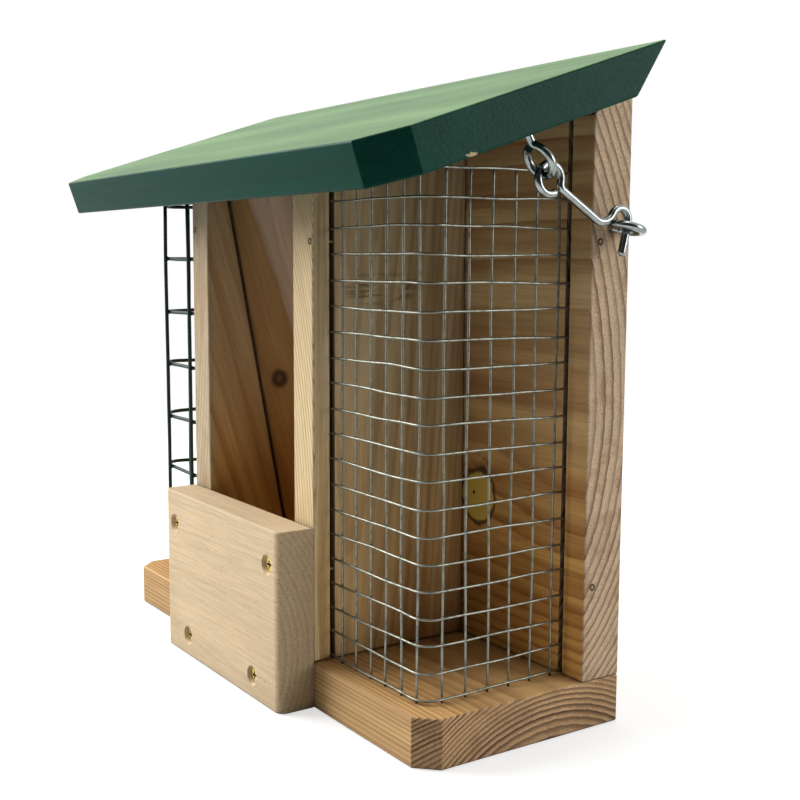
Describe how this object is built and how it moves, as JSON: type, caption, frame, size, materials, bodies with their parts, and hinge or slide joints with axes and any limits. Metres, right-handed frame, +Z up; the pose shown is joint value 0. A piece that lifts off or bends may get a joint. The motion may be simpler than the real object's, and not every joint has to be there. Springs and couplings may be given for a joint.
{
  "type": "bird feeder",
  "caption": "Wooden wall or table bird feeder: a seed hopper with a clear slanting front between two wire mesh corner cages, under a sloping lift-off roof held by hook-and-eye latches.",
  "frame": {"origin": "centre of the base board's bottom face, on the surface that the feeder stands on", "axes": "+X to the feeder's right as one faces its front, +Y to its back, +Z up"},
  "size_m": [0.28, 0.1173, 0.2446],
  "materials": {
    "pine": "planed bare softwood",
    "pale_pine": "planed bare softwood, paler",
    "green_roof": "satin green wood stain",
    "clear_sheet": "clear",
    "green_wire": "green plastic-coated steel",
    "galvanised": "galvanised",
    "zinc": "bright zinc plate",
    "brass": "bright"
  },
  "bodies": {
    "feeder": {"base_board": "pine", "back_board": "pine", "left_divider": "pine", "right_divider": "pine", "front_block": "pale_pine", "hopper_window": "clear_sheet", "coarse_mesh": "green_wire", "fine_mesh": "galvanised", "coarse_mesh_brads": "galvanised", "fine_mesh_brads": "galvanised", "block_screws": "brass", "base_screws": "zinc", "back_screws": "zinc", "left_post_eye": "zinc", "right_post_eye": "zinc"},
    "roof": {"roof_board": "green_roof", "left_roof_eye": "zinc", "right_roof_eye": "zinc"},
    "left_latch": {"left_hook": "zinc"},
    "right_latch": {"right_hook": "zinc"}
  },
  "joints": [
    {"name": "roof_lift", "type": "slide", "parent": "feeder", "child": "roof", "axis": [0, 0, 1], "range_m": [0, 0.12]},
    {"name": "left_hook_swing", "type": "hinge", "parent": "roof", "child": "left_latch", "pos_m": [-0.1325, -0.002, 0.19758], "axis": [1, 0, 0], "range_deg": [0, 50]},
    {"name": "right_hook_swing", "type": "hinge", "parent": "roof", "child": "right_latch", "pos_m": [0.1325, -0.002, 0.19758], "axis": [1, 0, 0], "range_deg": [0, 50]}
  ]
}
